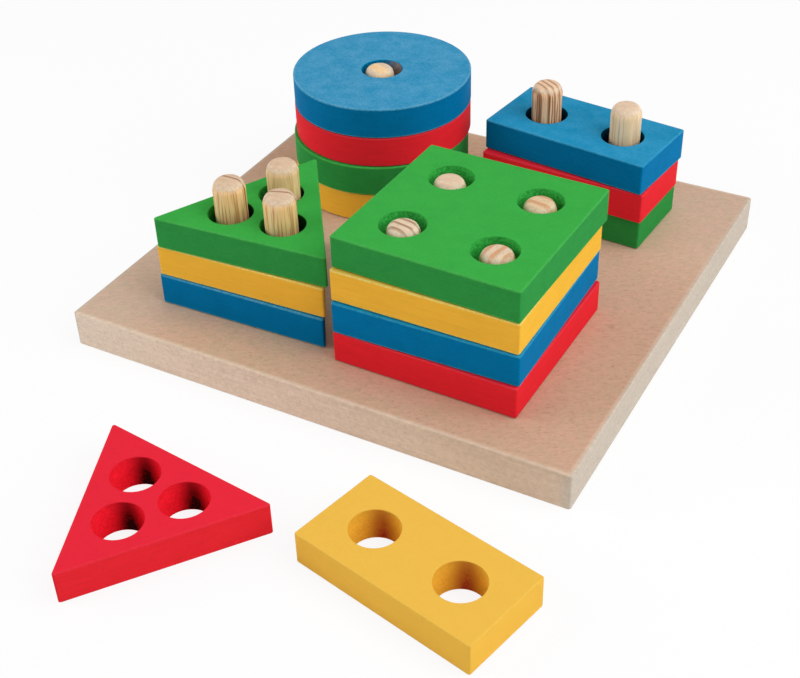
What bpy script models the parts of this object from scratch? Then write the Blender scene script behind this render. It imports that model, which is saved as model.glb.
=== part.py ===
"""Shape board: bored blocks of four shapes, stacked on dowel pegs that stand in a wooden board.

Units are metres and +Z is up. The origin is the middle of the board's underside, +X runs along
the front edge to the right, and +Y runs to the back edge. Two blocks lie loose in front.
"""

import math
from dataclasses import dataclass

import bmesh
import bpy
from mathutils import Matrix, Vector

# Clearances
SEAT_GAP = 0.0003
HOLE_PLAY = 0.0028

# Blocks
BLOCK_THICKNESS = 0.0147
BLOCK_ARRIS = 0.0005
BLOCK_CORNER_RADIUS = 0.0008
SQUARE_SIDE = 0.0841
RECTANGLE_LENGTH = 0.0827
RECTANGLE_WIDTH = 0.0415
TRIANGLE_SIDE = 0.0835
DISC_DIAMETER = 0.0859

# Wood left between two neighbouring holes of a block
SQUARE_WEB = 0.0215
RECTANGLE_WEB = 0.0206
TRIANGLE_WEB = 0.0056

# Pegs
PEG_DIAMETER = 0.0143
PEG_DOME_INSET = 0.0035
PEG_DOME_DROP = 0.005
PEG_FOOT_CHAMFER = 0.0008
PEG_PROUD = 0.0003
LAYERS_AT_FULL_STACK = 4

# Board, laid out as two columns and two rows of shapes
BOARD_THICKNESS = 0.0175
BOARD_ARRIS = 0.0008
BOARD_CORNER_EASE = 0.0004
SOCKET_FLOOR = 0.0055
SIDE_MARGIN = 0.0318
FRONT_MARGIN = 0.0230
COLUMN_AISLE = 0.0053
ROW_AISLE = 0.0101

# Where each group of pegs stands, from the middle or the edge of its place in the layout
SQUARE_TURN = math.radians(0.3)
RECTANGLE_SHIFT_RIGHT = 0.0022
RECTANGLE_INSET_BACK = 0.0018
RECTANGLE_TURN = math.radians(-3.8)
TRIANGLE_SHIFT_LEFT = 0.0014
TRIANGLE_INSET_FRONT = 0.0040
TRIANGLE_TURN = math.radians(-0.3)
DISC_SHIFT_LEFT = 0.0087
DISC_SHIFT_BACK = 0.0051

# Loose blocks, from the board's front edge and its middle line
LOOSE_RECTANGLE_SIDE_GAP = 0.0434
LOOSE_RECTANGLE_FRONT_GAP = 0.0387
LOOSE_RECTANGLE_TURN = math.radians(-13.1)
LOOSE_TRIANGLE_OVERHANG = 0.0284
LOOSE_TRIANGLE_FRONT_GAP = 0.0316
LOOSE_TRIANGLE_TURN = math.radians(52.75)

# How far a drill runs out of the wood, the width that welds points, and the angle of an edge
DRILL_OVERSHOOT = 0.004
WELD_WIDTH = 0.00001
EDGE_ANGLE = math.radians(30)

# Facets
HOLE_STEPS = 24
DISC_STEPS = 64
CORNER_STEPS = 2
BOARD_CORNER_STEPS = 3
DOME_STEPS = 3

# Sizes that follow from the values above
HOLE_DIAMETER = PEG_DIAMETER + 2 * HOLE_PLAY
SOCKET_DIAMETER = PEG_DIAMETER + 2 * SEAT_GAP
BLOCK_PITCH = BLOCK_THICKNESS + SEAT_GAP
PEG_STAND = LAYERS_AT_FULL_STACK * BLOCK_PITCH + PEG_PROUD
BOARD_CORNER_RADIUS = BOARD_ARRIS + BOARD_CORNER_EASE
SQUARE_SPACING = HOLE_DIAMETER + SQUARE_WEB
RECTANGLE_SPACING = HOLE_DIAMETER + RECTANGLE_WEB
TRIANGLE_SPACING = HOLE_DIAMETER + TRIANGLE_WEB
TRIANGLE_HEIGHT = TRIANGLE_SIDE * math.sqrt(3) / 2
TRIANGLE_INRADIUS = TRIANGLE_HEIGHT / 3
TRIANGLE_REACH = TRIANGLE_SIDE / math.sqrt(3)
LEFT_COLUMN = max(TRIANGLE_SIDE, DISC_DIAMETER)
RIGHT_COLUMN = max(SQUARE_SIDE, RECTANGLE_LENGTH)
FRONT_ROW = max(SQUARE_SIDE, TRIANGLE_HEIGHT)
BACK_ROW = max(DISC_DIAMETER, RECTANGLE_WIDTH)
BOARD_WIDTH = 2 * SIDE_MARGIN + LEFT_COLUMN + COLUMN_AISLE + RIGHT_COLUMN
BOARD_DEPTH = 2 * FRONT_MARGIN + FRONT_ROW + ROW_AISLE + BACK_ROW
LEFT_COLUMN_X = -BOARD_WIDTH / 2 + SIDE_MARGIN + LEFT_COLUMN / 2
RIGHT_COLUMN_X = BOARD_WIDTH / 2 - SIDE_MARGIN - RIGHT_COLUMN / 2
FRONT_ROW_Y = -BOARD_DEPTH / 2 + FRONT_MARGIN + FRONT_ROW / 2
BACK_ROW_Y = BOARD_DEPTH / 2 - FRONT_MARGIN - BACK_ROW / 2

# How far a block can slide before the flats of a hole come within the gap of a peg
USABLE_PLAY = HOLE_DIAMETER / 2 * math.cos(math.pi / HOLE_STEPS) - PEG_DIAMETER / 2 - SEAT_GAP

# Colours of the finishes, with roughness last
PAINT = {
    "green": (0.048, 0.418, 0.065, 0.42),
    "yellow": (0.800, 0.440, 0.045, 0.42),
    "blue": (0.017, 0.270, 0.540, 0.42),
    "red": (0.700, 0.020, 0.035, 0.42),
}
BOARD_WOOD = (0.600, 0.400, 0.265, 0.62)
PEG_WOOD = (0.780, 0.590, 0.370, 0.58)


@dataclass(frozen=True)
class Layer:
    """A block on its pegs: its colour, and how it lies in the play of its holes.

    right and back are shares of the usable play, and twist is the share that the turn takes.
    """

    colour: str
    right: float
    back: float
    twist: float = 0.0


@dataclass(frozen=True)
class Group:
    """One shape of block, its pegs and the blocks stacked on them, from the board up.

    spots are the pegs' places about the group's own, and cuts say how much longer than planned
    each peg was sawn.
    """

    shape: str
    place: Vector
    turn: float
    outline: list
    spots: list
    layers: tuple
    cuts: tuple


def arc(centre, radius, start, sweep, steps):
    """Return points along an arc, both ends included."""
    points = []
    for step in range(steps + 1):
        angle = start + sweep * step / steps
        points.append(centre + radius * Vector((math.cos(angle), math.sin(angle))))
    return points


def circle(centre, radius, steps):
    """Return the corners of a circle, anticlockwise from +X."""
    return arc(centre, radius, 0.0, math.tau, steps)[:-1]


def rounded(corners, radius, steps):
    """Return an anticlockwise outline with its corners rounded."""
    points = []
    count = len(corners)
    for index, corner in enumerate(corners):
        before = (corners[index - 1] - corner).normalized()
        after = (corners[(index + 1) % count] - corner).normalized()
        inward = (before + after).normalized()
        half = before.angle(after) / 2
        centre = corner + inward * radius / math.sin(half)
        sweep = math.pi - 2 * half
        start = math.atan2(-inward.y, -inward.x) - sweep / 2
        points += arc(centre, radius, start, sweep, steps)
    return points


def box_corners(width, depth):
    """Return the corners of a rectangle about the origin, anticlockwise."""
    x, y = width / 2, depth / 2
    return [Vector((-x, -y)), Vector((x, -y)), Vector((x, y)), Vector((-x, y))]


def triangle_corners(side):
    """Return the corners of an equilateral triangle about its centre, one corner to the back."""
    reach = side / math.sqrt(3)
    return [reach * Vector((math.cos(a), math.sin(a))) for a in
            (math.radians(-150), math.radians(-30), math.radians(90))]


def make_finish(name, colour):
    """Return a material with one colour and roughness."""
    material = bpy.data.materials.new(name)
    material.use_nodes = True
    shader = material.node_tree.nodes["Principled BSDF"]
    shader.inputs["Base Color"].default_value = (*colour[:3], 1.0)
    shader.inputs["Roughness"].default_value = colour[3]
    shader.inputs["Metallic"].default_value = 0.0
    material.diffuse_color = (*colour[:3], 1.0)
    return material


def slab(name, outer, holes, thickness, arris, arris_steps):
    """Return a mesh cut from sheet: an outline with holes and eased edges, standing on z = 0."""
    curve = bpy.data.curves.new(name, "CURVE")
    curve.dimensions = "2D"
    curve.fill_mode = "BOTH"
    curve.extrude = thickness / 2 - arris
    curve.bevel_depth = arris
    curve.bevel_resolution = arris_steps - 1
    curve.offset = -arris
    for points in [outer, *holes]:
        spline = curve.splines.new("POLY")
        spline.points.add(len(points) - 1)
        for knot, point in zip(spline.points, points):
            knot.co = (point.x, point.y, 0.0, 1.0)
        spline.use_cyclic_u = True
    guide = bpy.data.objects.new(name + "_outline", curve)
    bpy.context.scene.collection.objects.link(guide)
    evaluated = guide.evaluated_get(bpy.context.evaluated_depsgraph_get())
    mesh = bpy.data.meshes.new_from_object(evaluated)
    bpy.data.objects.remove(guide)
    bpy.data.curves.remove(curve)
    form = bmesh.new()
    form.from_mesh(mesh)
    bmesh.ops.remove_doubles(form, verts=form.verts, dist=WELD_WIDTH)
    bmesh.ops.recalc_face_normals(form, faces=form.faces)
    bmesh.ops.translate(form, verts=form.verts, vec=(0.0, 0.0, thickness / 2))
    form.to_mesh(mesh)
    form.free()
    mesh.name = name
    return mesh


def add_part(collection, name, mesh, colour, place, turn=0.0, parent=None):
    """Put a mesh in the collection as a named part with its own finish."""
    part = bpy.data.objects.new(name, mesh)
    part.data.materials.clear()
    part.data.materials.append(make_finish(name + "_finish", colour))
    part.location = place
    part.rotation_euler = (0.0, 0.0, turn)
    part.parent = parent
    collection.objects.link(part)
    return part


def make_block_mesh(name, group):
    """Return one block of a group, bored for its pegs."""
    holes = [circle(spot, HOLE_DIAMETER / 2, HOLE_STEPS) for spot in group.spots]
    mesh = slab(name, group.outline, holes, BLOCK_THICKNESS, BLOCK_ARRIS, 1)
    mesh.shade_smooth()
    mesh.set_sharp_from_angle(angle=EDGE_ANGLE)
    return mesh


def make_peg(collection, name, length, place, turn, parent):
    """Turn a dowel: a chamfered foot, a straight shaft and a dome that ends in a small flat."""
    radius = PEG_DIAMETER / 2
    shoulder = Vector((radius - PEG_DOME_INSET, length - PEG_DOME_DROP))
    quarter = arc(Vector((0.0, 0.0)), 1.0, math.pi / 2, -math.pi / 2, DOME_STEPS)
    dome = [shoulder + Vector((point.x * PEG_DOME_INSET, point.y * PEG_DOME_DROP)) for point in quarter]
    profile = [Vector((0.0, length)), *dome, Vector((radius, PEG_FOOT_CHAMFER)),
               Vector((radius - PEG_FOOT_CHAMFER, 0.0)), Vector((0.0, 0.0))]
    mesh = bpy.data.meshes.new(name)
    form = bmesh.new()
    knots = [form.verts.new((point.x, 0.0, point.y)) for point in profile]
    for upper, lower in zip(knots, knots[1:]):
        form.edges.new((upper, lower))
    form.to_mesh(mesh)
    form.free()
    peg = add_part(collection, name, mesh, PEG_WOOD, place, turn, parent)
    turning = peg.modifiers.new("turning", "SCREW")
    turning.steps = HOLE_STEPS
    turning.render_steps = HOLE_STEPS
    turning.use_merge_vertices = True
    turning.merge_threshold = WELD_WIDTH
    turning.use_smooth_shade = True
    turning.use_normal_calculate = True
    return peg


def make_socket_cutter(collection, places):
    """Return one cutter with a blind bore for each peg."""
    length = BOARD_THICKNESS - SOCKET_FLOOR + DRILL_OVERSHOOT
    mesh = bpy.data.meshes.new("socket_cutter")
    form = bmesh.new()
    for place, turn in places:
        middle = Vector((place.x, place.y, SOCKET_FLOOR + length / 2))
        bmesh.ops.create_cone(
            form, cap_ends=True, segments=HOLE_STEPS,
            radius1=SOCKET_DIAMETER / 2, radius2=SOCKET_DIAMETER / 2, depth=length,
            matrix=Matrix.Translation(middle) @ Matrix.Rotation(turn, 4, "Z"))
    form.to_mesh(mesh)
    form.free()
    cutter = bpy.data.objects.new("socket_cutter", mesh)
    cutter.hide_render = True
    cutter.display_type = "WIRE"
    collection.objects.link(cutter)
    return cutter


def make_board(parts, cutters, places):
    """Saw the board to size, ease its edges and bore a socket for each peg."""
    outline = rounded(box_corners(BOARD_WIDTH, BOARD_DEPTH), BOARD_CORNER_RADIUS, BOARD_CORNER_STEPS)
    mesh = slab("board", outline, [], BOARD_THICKNESS, BOARD_ARRIS, 2)
    board = add_part(parts, "board", mesh, BOARD_WOOD, Vector((0.0, 0.0, 0.0)))
    sockets = board.modifiers.new("sockets", "BOOLEAN")
    sockets.operation = "DIFFERENCE"
    sockets.solver = "EXACT"
    sockets.object = make_socket_cutter(cutters, places)
    return board


def turned(point, angle):
    """Return a flat point turned about the origin."""
    return Matrix.Rotation(angle, 2) @ point


def peg_place(group, spot):
    """Return where a peg of a group stands on the board, in plan."""
    return group.place + turned(spot, group.turn)


def stack_group(parts, group, board):
    """Stand a group's pegs in the board and stack its blocks on them."""
    for number, (spot, cut) in enumerate(zip(group.spots, group.cuts), start=1):
        plan = peg_place(group, spot)
        length = BOARD_THICKNESS - SOCKET_FLOOR - SEAT_GAP + PEG_STAND + cut
        suffix = f"_{number}" if len(group.spots) > 1 else ""
        make_peg(parts, f"{group.shape}_peg{suffix}", length,
                 Vector((plan.x, plan.y, SOCKET_FLOOR + SEAT_GAP)), group.turn, board)
    station = bpy.data.objects.new(group.shape + "_station", None)
    station.empty_display_size = BOARD_THICKNESS
    station.location = (group.place.x, group.place.y, BOARD_THICKNESS + SEAT_GAP)
    station.rotation_euler = (0.0, 0.0, group.turn)
    parts.objects.link(station)
    reach = max(spot.length for spot in group.spots)
    for level, layer in enumerate(group.layers):
        name = f"{group.shape}_{layer.colour}"
        twist = math.asin(layer.twist * USABLE_PLAY / reach) if reach else 0.0
        place = Vector((layer.right * USABLE_PLAY, layer.back * USABLE_PLAY, level * BLOCK_PITCH))
        add_part(parts, name, make_block_mesh(name, group), PAINT[layer.colour], place, twist, station)


def lay_loose_block(parts, group, colour, place, turn):
    """Lay a spare block of a group on the surface that the board stands on."""
    name = f"{group.shape}_{colour}"
    add_part(parts, name, make_block_mesh(name, group), PAINT[colour],
             Vector((place.x, place.y, 0.0)), turn)


def square_group():
    """Four pegs at the front right, for the square blocks."""
    half = SQUARE_SPACING / 2
    return Group(
        shape="square",
        place=Vector((RIGHT_COLUMN_X, FRONT_ROW_Y)),
        turn=SQUARE_TURN,
        outline=rounded(box_corners(SQUARE_SIDE, SQUARE_SIDE), BLOCK_CORNER_RADIUS, CORNER_STEPS),
        spots=[Vector((-half, half)), Vector((half, half)), Vector((-half, -half)), Vector((half, -half))],
        layers=(Layer("red", -0.22, -0.68, -0.20), Layer("blue", -0.50, -0.46, 0.07),
                Layer("yellow", -0.57, -0.06, -0.06), Layer("green", -0.15, 0.29, -0.36)),
        cuts=(-0.0003, -0.0005, 0.0007, -0.0002))


def rectangle_group():
    """Two pegs at the back right, for the rectangular blocks."""
    half = RECTANGLE_SPACING / 2
    back = BACK_ROW_Y + BACK_ROW / 2 - RECTANGLE_INSET_BACK
    corners = box_corners(RECTANGLE_LENGTH, RECTANGLE_WIDTH)
    return Group(
        shape="rectangle",
        place=Vector((RIGHT_COLUMN_X + RECTANGLE_SHIFT_RIGHT, back - RECTANGLE_WIDTH / 2)),
        turn=RECTANGLE_TURN,
        outline=rounded(corners, BLOCK_CORNER_RADIUS, CORNER_STEPS),
        spots=[Vector((-half, 0.0)), Vector((half, 0.0))],
        layers=(Layer("green", -0.80, -0.06, 0.05), Layer("red", -0.38, -0.63, -0.02),
                Layer("blue", -0.24, 0.09, -0.47)),
        cuts=(0.0013, 0.0002))


def triangle_group():
    """Three pegs at the front left, for the triangular blocks."""
    spots = triangle_corners(TRIANGLE_SPACING)
    front = FRONT_ROW_Y - FRONT_ROW / 2 + TRIANGLE_INSET_FRONT
    return Group(
        shape="triangle",
        place=Vector((LEFT_COLUMN_X - TRIANGLE_SHIFT_LEFT, front + TRIANGLE_INRADIUS)),
        turn=TRIANGLE_TURN,
        outline=rounded(triangle_corners(TRIANGLE_SIDE), BLOCK_CORNER_RADIUS, CORNER_STEPS),
        spots=[spots[0], spots[2], spots[1]],
        layers=(Layer("blue", -0.42, -0.52, 0.23), Layer("yellow", -0.34, -0.24, 0.29),
                Layer("green", -0.03, -0.24, 0.46)),
        cuts=(0.0, 0.0003, -0.0002))


def disc_group():
    """One peg at the back left, for the round blocks."""
    centre = Vector((0.0, 0.0))
    return Group(
        shape="disc",
        place=Vector((LEFT_COLUMN_X - DISC_SHIFT_LEFT, BACK_ROW_Y + DISC_SHIFT_BACK)),
        turn=0.0,
        outline=circle(centre, DISC_DIAMETER / 2, DISC_STEPS),
        spots=[centre],
        layers=(Layer("yellow", 0.20, -0.30), Layer("green", 0.35, -0.58),
                Layer("red", 0.59, -0.06), Layer("blue", 0.65, -0.05)),
        cuts=(0.0003,))


def main():
    """Clear the scene and build the whole toy."""
    for leftover in list(bpy.data.objects):
        bpy.data.objects.remove(leftover)
    parts = bpy.data.collections.new("shape_board")
    cutters = bpy.data.collections.new("cutters")
    bpy.context.scene.collection.children.link(parts)
    bpy.context.scene.collection.children.link(cutters)
    rectangles = rectangle_group()
    triangles = triangle_group()
    groups = [square_group(), rectangles, triangles, disc_group()]
    places = [(peg_place(group, spot), group.turn) for group in groups for spot in group.spots]
    board = make_board(parts, cutters, places)
    for group in groups:
        stack_group(parts, group, board)
    front_edge = -BOARD_DEPTH / 2
    lay_loose_block(parts, rectangles, "yellow",
                    Vector((LOOSE_RECTANGLE_SIDE_GAP + RECTANGLE_LENGTH / 2,
                            front_edge - LOOSE_RECTANGLE_FRONT_GAP - RECTANGLE_WIDTH / 2)),
                    LOOSE_RECTANGLE_TURN)
    lay_loose_block(parts, triangles, "red",
                    Vector((LOOSE_TRIANGLE_OVERHANG - TRIANGLE_REACH,
                            front_edge - LOOSE_TRIANGLE_FRONT_GAP - TRIANGLE_REACH)),
                    LOOSE_TRIANGLE_TURN)


main()
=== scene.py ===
"""Looks of the shape board: painted blocks on pine dowels, and the fibreboard that carries them.

Every piece is modelled where model.glb has its solid, at the size that model.glb gives. Lengths are in
metres, +Z is up and the origin is the middle of the board's underside.
"""

import logging
import math
from dataclasses import dataclass
from enum import Enum
from typing import Any, Callable, Optional, Union

import bmesh
import bpy
from bmesh.types import BMEdge, BMesh, BMVert
from mathutils import Matrix, Vector, noise


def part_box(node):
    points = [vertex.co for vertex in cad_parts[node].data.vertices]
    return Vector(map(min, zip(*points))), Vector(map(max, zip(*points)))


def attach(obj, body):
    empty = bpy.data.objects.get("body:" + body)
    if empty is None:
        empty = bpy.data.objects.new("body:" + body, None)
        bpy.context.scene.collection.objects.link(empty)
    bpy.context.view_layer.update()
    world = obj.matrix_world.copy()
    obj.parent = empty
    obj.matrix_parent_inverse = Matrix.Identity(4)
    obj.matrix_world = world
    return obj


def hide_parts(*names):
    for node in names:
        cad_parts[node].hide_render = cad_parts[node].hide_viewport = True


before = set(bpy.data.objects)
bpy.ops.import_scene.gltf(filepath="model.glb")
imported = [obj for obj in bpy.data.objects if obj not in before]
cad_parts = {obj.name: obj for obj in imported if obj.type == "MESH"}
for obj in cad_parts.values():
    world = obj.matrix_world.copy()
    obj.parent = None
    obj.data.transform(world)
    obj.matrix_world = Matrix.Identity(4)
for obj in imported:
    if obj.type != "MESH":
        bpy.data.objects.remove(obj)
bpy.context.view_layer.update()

log = logging.getLogger("shape_board")

MILLIMETRE = 0.001
UP = Vector((0.0, 0.0, 1.0))

Colour = tuple[float, float, float]
Scale = tuple[float, float, float]
Number = Union["Signal", float]

WHITE = (1.0, 1.0, 1.0)
RAW_BOARD = (0.560, 0.350, 0.210)
# dark fibres and stains of the board, and the colour of its painted shade
SOIL_AND_SHADE = (0.330, 0.180, 0.105)
# the colour of painted light on the board
PAINTED_LIGHT_TINT = (0.800, 0.700, 0.600)
PALE_PINE = (1.000, 0.725, 0.400)
PALE_END = (0.835, 0.665, 0.455)
WARM_END = (0.740, 0.550, 0.300)
CREAM = (0.990, 0.790, 0.540)
PINK_TAN = (1.000, 0.630, 0.370)
PINK_END = (0.610, 0.410, 0.290)
# painted highlight round a peg's dome
PAINTED_RIM_LIGHT = (0.900, 0.780, 0.600)
GOLD = (0.980, 0.600, 0.250)
SOFT_GOLD = (0.920, 0.640, 0.330)
SOFT_TAN = (0.620, 0.420, 0.240)
TAN = (0.600, 0.290, 0.100)
BROWN_LINE = (0.280, 0.120, 0.055)
ORANGE_LINE = (0.600, 0.280, 0.120)
PINK_LINE = (0.740, 0.440, 0.310)
DARK_STRIPE = (0.380, 0.130, 0.048)

HOLE_PLAY = 2.8 * MILLIMETRE  # the room round a peg in its bore
FACE_DEPTH = 0.1 * MILLIMETRE  # points this near the top belong to the face
WELD_WIDTH = 1e-7  # points that lie closer become one
HAIR = 1e-6  # lengths that differ by less are equal
SHARP_ANGLE = math.radians(35)  # an edge above it shades sharp
WALL_PART = 0.5  # the least horizontal share of a wall's normal
SENSOR_WIDTH = 36.0  # in millimetres


class Signal:
    """A value that leaves a socket. Arithmetic on it adds Math nodes to its bench."""

    def __init__(self, bench: "Bench", socket: bpy.types.NodeSocket) -> None:
        """Keep the socket and the bench that it stands on."""
        self.bench = bench
        self.socket = socket

    def _maths(self, operation: str, *operands: Number, clamp: bool = False) -> "Signal":
        """Add one Math node.

        Args:
            operation: The node's operation.
            operands: Its inputs, in order.
            clamp: Whether the result stays between 0 and 1.

        Returns:
            The node's result.
        """
        names = ("Value", "Value_001", "Value_002")
        return self.bench.add("ShaderNodeMath", {"operation": operation, "use_clamp": clamp},
                              dict(zip(names, operands)))

    def __add__(self, other: Number) -> "Signal":
        """self + other."""
        return self._maths("ADD", self, other)

    def __radd__(self, other: Number) -> "Signal":
        """other + self."""
        return self._maths("ADD", other, self)

    def __sub__(self, other: Number) -> "Signal":
        """self - other."""
        return self._maths("SUBTRACT", self, other)

    def __rsub__(self, other: Number) -> "Signal":
        """other - self."""
        return self._maths("SUBTRACT", other, self)

    def __mul__(self, other: Number) -> "Signal":
        """self * other."""
        return self._maths("MULTIPLY", self, other)

    def __rmul__(self, other: Number) -> "Signal":
        """other * self."""
        return self._maths("MULTIPLY", other, self)

    def __truediv__(self, other: Number) -> "Signal":
        """self / other."""
        return self._maths("DIVIDE", self, other)

    def __rtruediv__(self, other: Number) -> "Signal":
        """other / self."""
        return self._maths("DIVIDE", other, self)

    def part(self) -> "Signal":
        """The fractional part, which repeats from 0 to 1."""
        return self._maths("FRACT", self)

    def wave(self) -> "Signal":
        """The sine."""
        return self._maths("SINE", self)

    def root(self) -> "Signal":
        """The square root."""
        return self._maths("SQRT", self)

    def clamped(self) -> "Signal":
        """The value kept between 0 and 1."""
        return self._maths("ADD", self, 0.0, clamp=True)

    def step(self, low: float, high: float) -> "Signal":
        """Rise smoothly from 0 at low to 1 at high.

        Args:
            low: Where the rise starts, or ends if it is above high.
            high: Where it reaches 1.

        Returns:
            The risen value.
        """
        settings = {"interpolation_type": "SMOOTHSTEP", "clamp": True}
        span = {"From Min": low, "From Max": high, "To Min": 0.0, "To Max": 1.0}
        return self.bench.add("ShaderNodeMapRange", settings, {"Value": self, **span}, "Result")


class Bench:
    """The node tree of one material or world, and the ways to add to it."""

    def __init__(self, name: str, world: bool = False) -> None:
        """Start an empty material or world.

        Args:
            name: Its name.
            world: Whether it is a world.
        """
        self.owner = (bpy.data.worlds if world else bpy.data.materials).new(name)
        self.owner.use_nodes = True
        self.tree = self.owner.node_tree
        self.tree.nodes.clear()

    @staticmethod
    def _socket(sockets: Any, key: str) -> bpy.types.NodeSocket:
        """Find a socket by its identifier, or else by its name."""
        by_identifier = [s for s in sockets if s.identifier == key]
        return (by_identifier or [s for s in sockets if s.name == key])[0]

    def _make(self, kind: str, settings: Optional[dict] = None,
              inputs: Optional[dict] = None) -> bpy.types.Node:
        """Make a node, with its settings first and then its sockets.

        Args:
            kind: The node's type.
            settings: Its properties.
            inputs: Values or signals for its sockets, by identifier or name.

        Returns:
            The node.
        """
        node = self.tree.nodes.new(kind)
        for key, value in (settings or {}).items():
            setattr(node, key, value)
        for key, value in (inputs or {}).items():
            socket = self._socket(node.inputs, key)
            if isinstance(value, Signal):
                self.tree.links.new(value.socket, socket)
            elif socket.type == "RGBA":
                socket.default_value = (*value[:3], 1.0)
            else:
                socket.default_value = value
        return node

    def add(self, kind: str, settings: Optional[dict] = None, inputs: Optional[dict] = None,
            output: Optional[str] = None) -> Signal:
        """Add a node and take one of its outputs.

        Args:
            kind: The node's type.
            settings: Its properties.
            inputs: Values or signals for its sockets, by identifier or name.
            output: The socket to return, the first one unless named.

        Returns:
            The output.
        """
        node = self._make(kind, settings, inputs)
        return Signal(self, self._socket(node.outputs, output) if output else node.outputs[0])

    def take(self, kind: str, outputs: tuple[str, ...], inputs: Optional[dict] = None) -> list[Signal]:
        """Add a node and take several of its outputs.

        Args:
            kind: The node's type.
            outputs: The names of the outputs.
            inputs: Values or signals for its sockets, by identifier or name.

        Returns:
            The outputs.
        """
        node = self._make(kind, inputs=inputs)
        return [Signal(self, self._socket(node.outputs, name)) for name in outputs]

    def sight(self) -> Signal:
        """1 where the camera sees the surface, itself or in a mirror or through glass, and 0 for light."""
        rays = self.take("ShaderNodeLightPath", ("Is Camera Ray", "Is Glossy Ray", "Is Transmission Ray"))
        return (rays[0] + rays[1] + rays[2]).clamped()

    def end(self, kind: str, surface: Signal) -> None:
        """Send a shader to the surface through an output node."""
        self._make(kind, inputs={"Surface": surface})

    def place(self) -> Signal:
        """The point on the surface, in the object's own coordinates."""
        return self.add("ShaderNodeTexCoord", output="Object")

    def mapped(self, vector: Signal, location: Vector = Vector(), turn: float = 0.0,
               scale: Scale = (1.0, 1.0, 1.0)) -> Signal:
        """Scale, turn and then shift coordinates.

        Args:
            vector: The coordinates.
            location: The shift, made last.
            turn: The turn about Z.
            scale: The scale along each axis, made first.

        Returns:
            The mapped coordinates.
        """
        steps = {"Vector": vector, "Location": location, "Rotation": (0.0, 0.0, turn), "Scale": scale}
        return self.add("ShaderNodeMapping", {"vector_type": "POINT"}, steps)

    def axes(self, vector: Signal) -> list[Signal]:
        """Split a vector into its X, Y and Z."""
        return self.take("ShaderNodeSeparateXYZ", ("X", "Y", "Z"), {"Vector": vector})

    def grain(self, vector: Signal, scale: float, detail: float = 2.0, rough: float = 0.5) -> Signal:
        """Noise about 0, from about -0.5 to 0.5.

        Args:
            vector: The coordinates that it reads.
            scale: How many features it has in a metre.
            detail: How many finer layers it adds.
            rough: How strong the finer layers are.

        Returns:
            The noise.
        """
        sizes = {"Vector": vector, "Scale": scale, "Detail": detail, "Roughness": rough}
        return self.add("ShaderNodeTexNoise", {"noise_dimensions": "3D"}, sizes, "Fac") - 0.5

    def mark(self, name: str) -> Signal:
        """A number that the mesh carries on its points."""
        return self.add("ShaderNodeAttribute", {"attribute_type": "GEOMETRY", "attribute_name": name},
                        output="Fac")

    def mix(self, factor: Number, under: Union[Signal, Colour], over: Union[Signal, Colour]) -> Signal:
        """Mix two colours.

        Args:
            factor: How much of the upper colour there is.
            under: The lower colour.
            over: The upper colour.

        Returns:
            The mixed colour.
        """
        return self.add("ShaderNodeMix", {"data_type": "RGBA", "blend_type": "MIX", "clamp_factor": True},
                        {"Factor_Float": factor, "A_Color": under, "B_Color": over}, "Result_Color")

    def toned(self, colour: Union[Signal, Colour], tone: Signal) -> Signal:
        """A colour made lighter or darker, where a tone of 1 keeps it."""
        return self.add("ShaderNodeVectorMath", {"operation": "SCALE"}, {"Vector": colour, "Scale": tone})

    def finish(self, colour: Signal, roughness: Signal, height: Signal, depth: float,
               constants: dict[str, float]) -> bpy.types.Material:
        """Join the surface to a shader and the material's output.

        Args:
            colour: The base colour.
            roughness: The roughness.
            height: The height that the bump follows, in units of depth.
            depth: How far the surface rises where height is 1.
            constants: The shader's sockets that stay the same all over.

        Returns:
            The finished material.
        """
        normal = self.add("ShaderNodeBump", inputs={"Strength": 1.0, "Distance": depth, "Height": height})
        inputs = {"Base Color": colour, "Roughness": roughness.clamped(), "Normal": normal, **constants}
        self.end("ShaderNodeOutputMaterial", self.add("ShaderNodeBsdfPrincipled", inputs=inputs))
        return self.owner


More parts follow.
